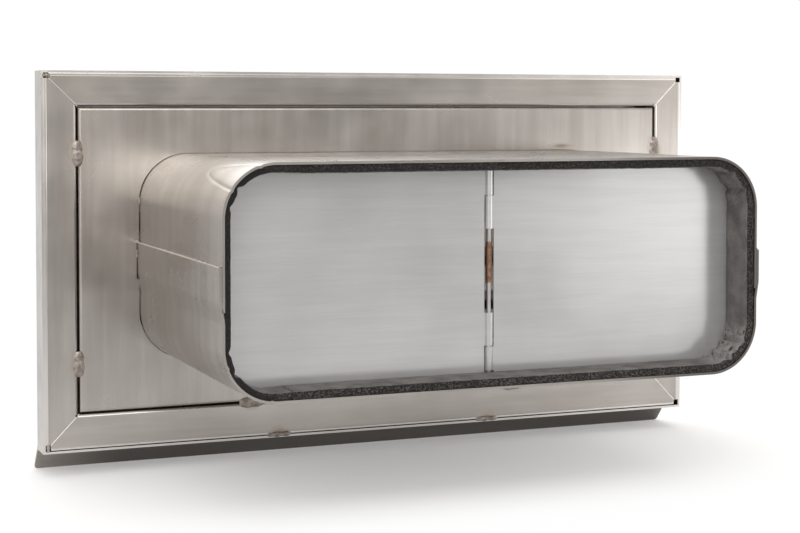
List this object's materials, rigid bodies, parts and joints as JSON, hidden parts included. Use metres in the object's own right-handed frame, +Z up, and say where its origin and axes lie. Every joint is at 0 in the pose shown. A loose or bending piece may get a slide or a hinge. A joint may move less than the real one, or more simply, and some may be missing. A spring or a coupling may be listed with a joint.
{
  "type": "louvred wall vent",
  "caption": "Wall vent with a louvred outdoor cover, a mitred mounting frame and a flat-duct spigot closed by sprung butterfly flaps on a foam seal.",
  "frame": {"origin": "on the duct axis, in the plane of the frame face that lies against the wall", "axes": "+Z up, +Y outdoors towards the louvres, the spigot runs towards -Y, +X right seen from the spigot"},
  "size_m": [0.312, 0.151, 0.1731],
  "materials": {
    "satin_steel": "satin",
    "flap_sheet": "fine brushed",
    "foam": "cellular, matt",
    "pin_steel": "drawn wire",
    "spring_wire": "copper-toned wire",
    "weld_metal": "heat tinted"
  },
  "bodies": {
    "housing": {"front_cover": "satin_steel", "back_plate": "satin_steel", "spigot_upper_shell": "satin_steel", "spigot_lower_shell": "satin_steel", "rear_frame_top": "satin_steel", "rear_frame_bottom": "satin_steel", "rear_frame_left": "satin_steel", "rear_frame_right": "satin_steel", "louvre_blade_1": "satin_steel", "louvre_blade_2": "satin_steel", "louvre_blade_3": "satin_steel", "louvre_blade_4": "satin_steel", "louvre_blade_5": "satin_steel", "louvre_blade_6": "satin_steel", "foam_seal": "foam", "hinge_pin": "pin_steel", "torsion_spring": "spring_wire", "tack_welds": "weld_metal"},
    "left_flap": {"left_flap": "flap_sheet"},
    "right_flap": {"right_flap": "flap_sheet"}
  },
  "joints": [
    {"name": "left_flap_hinge", "type": "hinge", "parent": "housing", "child": "left_flap", "pos_m": [0, -0.11135, 0], "axis": [0, 0, -1], "range_deg": [0, 75], "stiffness_Nm_per_rad": 0.004, "springref_deg": -68.75, "deforming": ["torsion_spring"]},
    {"name": "right_flap_hinge", "type": "hinge", "parent": "housing", "child": "right_flap", "pos_m": [0, -0.11135, 0], "axis": [0, 0, 1], "range_deg": [0, 75], "stiffness_Nm_per_rad": 0.004, "springref_deg": -68.75, "deforming": ["torsion_spring"]}
  ]
}
